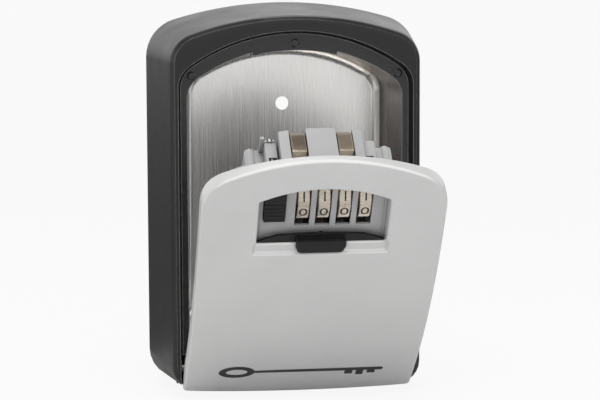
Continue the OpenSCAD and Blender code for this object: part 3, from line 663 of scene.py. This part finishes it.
# ---- Shutter with its thumb tab ----
SHUTTER = [(-22.5, 1.0), (22.5, 1.0), (22.5, 24.2), (20.0, 25.4), (15.5, 27.0), (8.0, 27.45),
           (0.9, 27.6), (0.6, 28.0), (-0.6, 28.0), (-0.9, 27.6), (-8.0, 27.45), (-15.5, 27.0),
           (-20.0, 25.4), (-22.5, 24.2)]
SHUTTER_FRONT, SHUTTER_REAR = 2.45, 3.4         # depths below the door's surface
shutter_bm = bm = bmesh.new()
front = ring_verts(bm, SHUTTER, SHUTTER_FRONT)
rear = ring_verts(bm, SHUTTER, SHUTTER_REAR)
fill_rings(bm, [front])
fill_rings(bm, [rear])
ring_strip(bm, front, rear)
slice_mesh(bm, zs=[1 + 2 * k for k in range(1, 13)])
bend(bm)
TAB_HW, TAB_LOW, TAB_TOP, TAB_R = 9.0, 20.85, 26.2, 1.6
TAB_OUT, TAB_BACK, TAB_EDGE = -0.2, 1.0, 0.75   # front and back depths, rounding of the front edge


def tab_ring(inset):
    pts = []
    hw, low, top = TAB_HW - inset, TAB_LOW + inset, TAB_TOP - inset * 0.6
    for k in range(9):
        a = math.radians(-90 + 90 * k / 8)
        pts.append((hw - TAB_R - 0.5 + TAB_R * math.cos(a), low + TAB_R + TAB_R * math.sin(a)))
    pts += [(hw, (low + top) / 2), (hw, top)]
    middle = [(hw * 0.6, top), (hw * 0.2, top), (-hw * 0.2, top), (-hw * 0.6, top)]
    lower = [(-hw * 0.5, low), (0.0, low), (hw * 0.5, low)]
    return pts + middle + [(-x, z) for x, z in pts[::-1]] + lower


bm = bmesh.new()
rings = [ring_verts(bm, tab_ring(0.0), TAB_BACK)]
for a in [math.radians(18 * k) for k in range(6)]:
    rings.append(ring_verts(bm, tab_ring(TAB_EDGE * (1 - math.cos(a))),
                            TAB_OUT + TAB_EDGE * (1 - math.sin(a))))
for k in range(len(rings) - 1):
    ring_strip(bm, rings[k], rings[k + 1])
fill_rings(bm, [rings[0]])
fill_rings(bm, [rings[-1]])
box_strip(bm, -TAB_HW + 0.3, TAB_HW - 0.3, TAB_BACK - 0.2, 2.6, 25.15, TAB_TOP - 0.05, 2)
slice_mesh(bm, zs=[22, 23.5, 25])
bend(bm)
tab_mesh = bpy.data.meshes.new("tmp")
bm.to_mesh(tab_mesh)
bm.free()
shutter_bm.from_mesh(tab_mesh)
shutter = new_object("weather_shutter", shutter_bm, "shutter", "black", smooth=35)
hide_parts("shutter")

# ---- Camera ----
AZIMUTH, ELEVATION, DISTANCE = math.radians(7.59), math.radians(7.13), 0.969
YAW, PITCH, ROLL = math.radians(0.41), math.radians(-0.24), math.radians(-0.24)
LENS_SHARE, SENSOR = 4.1423, 36.0       # focal length as a share of the sensor's width
back = Vector((-math.sin(AZIMUTH) * math.cos(ELEVATION), -math.cos(AZIMUTH) * math.cos(ELEVATION),
               math.sin(ELEVATION)))
aim = -back
right = aim.cross(Vector((0, 0, 1))).normalized()
up = right.cross(aim)
aim = (aim + right * math.tan(YAW) + up * math.tan(PITCH)).normalized()
right = aim.cross(Vector((0, 0, 1))).normalized()
up = right.cross(aim)
right, up = right * math.cos(ROLL) + up * math.sin(ROLL), -right * math.sin(ROLL) + up * math.cos(ROLL)
camera_data = bpy.data.cameras.new("camera")
camera_data.sensor_fit = "HORIZONTAL"
camera_data.sensor_width = SENSOR
camera_data.lens = SENSOR * LENS_SHARE
camera_data.clip_start = 0.01
camera = bpy.data.objects.new("camera", camera_data)
bpy.context.scene.collection.objects.link(camera)
turn = Matrix((right, up, -aim)).transposed().to_4x4()
camera.matrix_world = Matrix.Translation(back * DISTANCE) @ turn
bpy.context.scene.camera = camera


# ---- Light, floor and backdrop ----
def area_light(name, place, target, size, power, tint=(1, 1, 1), size_y=None):
    data = bpy.data.lights.new(name, "AREA")
    data.energy = power
    data.size = size
    data.color = tint
    if size_y:
        data.shape = "RECTANGLE"
        data.size_y = size_y
    obj = bpy.data.objects.new(name, data)
    obj.location = place
    obj.rotation_euler = (Vector(target) - Vector(place)).to_track_quat("-Z", "Y").to_euler()
    bpy.context.scene.collection.objects.link(obj)


area_light("top", (-0.1, -0.45, 0.95), (0, -0.03, 0), 0.7, 6.0, tint=(1.0, 0.99, 0.97))
area_light("left", (-1.0, -0.15, 0.25), (0, 0, 0), 0.5, 2.6, tint=(1.0, 0.98, 0.96))
area_light("right", (0.9, -0.5, 0.5), (0, 0, 0), 0.5, 1.6)
area_light("front", (0.1, -1.4, 0.61), (0.1, 0, 0.61), 2.2, 10.2, size_y=1.36)

world = bpy.data.worlds.new("studio")
world.use_nodes = True
background = world.node_tree.nodes["Background"]
background.inputs["Color"].default_value = (1, 1, 1, 1)
seen = add(world.node_tree, "ShaderNodeLightPath")
strength = add(world.node_tree, "ShaderNodeMapRange")
strength.inputs["To Min"].default_value = 0.12      # what lights the object
strength.inputs["To Max"].default_value = 0.94      # what the camera sees past the backdrop
world.node_tree.links.new(seen.outputs["Is Camera Ray"], strength.inputs["Value"])
world.node_tree.links.new(strength.outputs[0], background.inputs["Strength"])
bpy.context.scene.world = world

FLOOR_GAP = 0.0005                      # below the object, in metres
PAPER_SHARE = 0.9                       # how much of the seen floor is even, unshaded paper
DIM, BRIGHT = 0.16, 1.5                 # glow of the painted reflection that glossy surfaces see, low and high
DIM_TOP, BRIGHT_FROM = 0.03, 0.22       # heights above the floor, in metres
BEHIND_Y = 0.05                         # only the part of the backdrop behind the wall plane
floor_z = CAD_BOUNDS[0][2] - FLOOR_GAP
profile = [(-2.5, 0.0), (0.6, 0.0)] + [
    (0.6 + 0.5 * math.sin(a), 0.5 - 0.5 * math.cos(a)) for a in [math.radians(9 * k) for k in range(1, 11)]
] + [(1.1, 2.5)]
verts, faces = [], []
for y, z in profile:
    verts += [(-3.0, y, floor_z + z), (3.0, y, floor_z + z)]
for k in range(len(profile) - 1):
    faces.append((2 * k, 2 * k + 1, 2 * k + 3, 2 * k + 2))
floor_mesh = bpy.data.meshes.new("floor")
floor_mesh.from_pydata(verts, [], faces)
floor_mesh.shade_smooth()
floor = bpy.data.objects.new("floor", floor_mesh)
bpy.context.scene.collection.objects.link(floor)
floor_mat = finish_material("pale_floor", (0.86, 0.86, 0.86), 0.8, tone=0.01, speck=300.0, speck_bump=0.05)
tree = floor_mat.node_tree
glow = add(tree, "ShaderNodeEmission")
glow.inputs["Strength"].default_value = 1.0
path = add(tree, "ShaderNodeLightPath")
share = add(tree, "ShaderNodeMath", operation="MULTIPLY")
share.inputs[1].default_value = PAPER_SHARE
blend = add(tree, "ShaderNodeMixShader")
surface = next(n for n in tree.nodes if n.type == "BSDF_PRINCIPLED")
output = next(n for n in tree.nodes if n.type == "OUTPUT_MATERIAL")
tree.links.new(path.outputs["Is Camera Ray"], share.inputs[0])
tree.links.new(share.outputs[0], blend.inputs[0])
tree.links.new(surface.outputs[0], blend.inputs[1])
tree.links.new(glow.outputs[0], blend.inputs[2])
# painted reflection: glossy rays that reach the backdrop behind the wall plane see a glow, dim near the
# floor and bright higher up
place = add(tree, "ShaderNodeNewGeometry")
split = add(tree, "ShaderNodeSeparateXYZ")
tree.links.new(place.outputs["Position"], split.inputs[0])
behind = add(tree, "ShaderNodeMath", operation="GREATER_THAN")
behind.inputs[1].default_value = BEHIND_Y
tree.links.new(split.outputs["Y"], behind.inputs[0])
painted_reflection_mask = add(tree, "ShaderNodeMath", operation="MULTIPLY")
tree.links.new(path.outputs["Is Glossy Ray"], painted_reflection_mask.inputs[0])
tree.links.new(behind.outputs[0], painted_reflection_mask.inputs[1])
height = add(tree, "ShaderNodeMapRange")
height.inputs["From Min"].default_value = floor_z + DIM_TOP
height.inputs["From Max"].default_value = floor_z + BRIGHT_FROM
height.inputs["To Min"].default_value = DIM
height.inputs["To Max"].default_value = BRIGHT
tree.links.new(split.outputs["Z"], height.inputs["Value"])
backdrop = add(tree, "ShaderNodeEmission")
tree.links.new(height.outputs[0], backdrop.inputs["Strength"])
final = add(tree, "ShaderNodeMixShader")
tree.links.new(painted_reflection_mask.outputs[0], final.inputs[0])
tree.links.new(blend.outputs[0], final.inputs[1])
tree.links.new(backdrop.outputs[0], final.inputs[2])
# the back of the floor and the backdrop is clear, so a camera below or behind them sees the object
hidden = add(tree, "ShaderNodeMath", operation="MULTIPLY")
tree.links.new(path.outputs["Is Camera Ray"], hidden.inputs[0])
tree.links.new(place.outputs["Backfacing"], hidden.inputs[1])
clear = add(tree, "ShaderNodeBsdfTransparent")
one_sided = add(tree, "ShaderNodeMixShader")
tree.links.new(hidden.outputs[0], one_sided.inputs[0])
tree.links.new(final.outputs[0], one_sided.inputs[1])
tree.links.new(clear.outputs[0], one_sided.inputs[2])
tree.links.new(one_sided.outputs[0], output.inputs[0])
floor_mesh.materials.append(floor_mat)
bpy.context.scene.view_settings.view_transform = "Standard"
